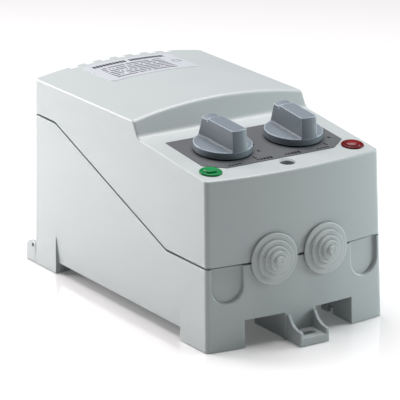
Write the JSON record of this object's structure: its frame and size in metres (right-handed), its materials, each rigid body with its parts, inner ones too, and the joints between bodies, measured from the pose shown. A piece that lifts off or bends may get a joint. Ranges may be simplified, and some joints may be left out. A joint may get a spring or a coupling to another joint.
{
  "type": "motor speed controller",
  "caption": "Wall-mounted stepped speed controller for a fan motor: two turning knobs on a sloping panel, lift-off cover, transformer and terminals inside.",
  "frame": {"origin": "on the mounting plane, under the middle of the whole outline", "axes": "+Z out from the mounting plane, -Y towards the end with the control panel and cable entries, +X to the right of someone who faces that end"},
  "size_m": [0.121, 0.2204, 0.1222],
  "materials": {
    "housing_plastic": "light grey moulded plastic with a fine satin spark texture",
    "grommet_plastic": "soft light grey moulded elastomer",
    "brass": "plain brass",
    "core_steel": "varnished electrical steel laminations",
    "bobbin_plastic": "dark glass-filled plastic",
    "copper": "enamelled copper wire",
    "winding_tape": "yellow insulating tape",
    "tinned_metal": "tinned metal",
    "zinc_steel": "zinc plated steel",
    "terminal_plastic": "natural white plastic",
    "circuit_board": "green solder-masked laminate",
    "black_plastic": "black moulded plastic",
    "fuse_glass": "clear tube",
    "lead_insulation": "soft coloured insulation",
    "overlay_print": "dark grey printed film",
    "label_foil": "silvery white printed foil",
    "lens_green": "clear emerald lens",
    "lens_red": "clear deep red lens",
    "washer_rubber": "black rubber",
    "knob_plastic": "blue-grey moulded plastic, satin"
  },
  "bodies": {
    "base": {"base_housing": "housing_plastic", "cable_grommet_left": "grommet_plastic", "cable_grommet_right": "grommet_plastic", "screw_insert": "brass", "transformer_core": "core_steel", "winding_bobbin": "bobbin_plastic", "copper_winding": "copper", "winding_tape": "winding_tape", "winding_tags": "tinned_metal", "core_bracket_front": "zinc_steel", "core_bracket_rear": "zinc_steel", "core_bolts": "zinc_steel", "core_nuts": "zinc_steel", "transformer_screws": "zinc_steel", "terminal_block": "terminal_plastic", "terminal_clamps": "brass", "terminal_screws": "zinc_steel", "block_screws": "zinc_steel", "earth_clamp": "brass", "earth_screw": "zinc_steel", "control_board": "circuit_board", "board_screws": "zinc_steel", "trip_relay": "black_plastic", "fuse_holder": "black_plastic", "fuse_tube": "fuse_glass", "fuse_caps": "tinned_metal", "lead_header": "terminal_plastic", "tap_leads": "lead_insulation"},
    "cover": {"top_cover": "housing_plastic", "panel_overlay": "overlay_print", "rating_label": "label_foil", "lamp_lens_green": "lens_green", "lamp_lens_red": "lens_red", "lamp_body_green": "terminal_plastic", "lamp_body_red": "terminal_plastic", "lamp_nuts": "black_plastic", "switch_body_left": "black_plastic", "switch_body_right": "black_plastic", "switch_nuts": "zinc_steel", "switch_tabs": "brass", "cover_screw": "zinc_steel", "screw_washer": "washer_rubber"},
    "knob_left": {"knob_left": "knob_plastic", "spindle_left": "zinc_steel"},
    "knob_right": {"knob_right": "knob_plastic", "spindle_right": "zinc_steel"}
  },
  "joints": [
    {"name": "cover_lift", "type": "slide", "parent": "base", "child": "cover", "axis": [0, 0, 1], "range_m": [0, 0.08]},
    {"name": "knob_left_turn", "type": "hinge", "parent": "cover", "child": "knob_left", "pos_m": [-0.0243, -0.05103, 0.10361], "axis": [0, -0.1002, 0.995], "range_deg": [-150, 0]},
    {"name": "knob_right_turn", "type": "hinge", "parent": "cover", "child": "knob_right", "pos_m": [0.0243, -0.05103, 0.10361], "axis": [0, -0.1002, 0.995], "range_deg": [-150, 0]}
  ]
}
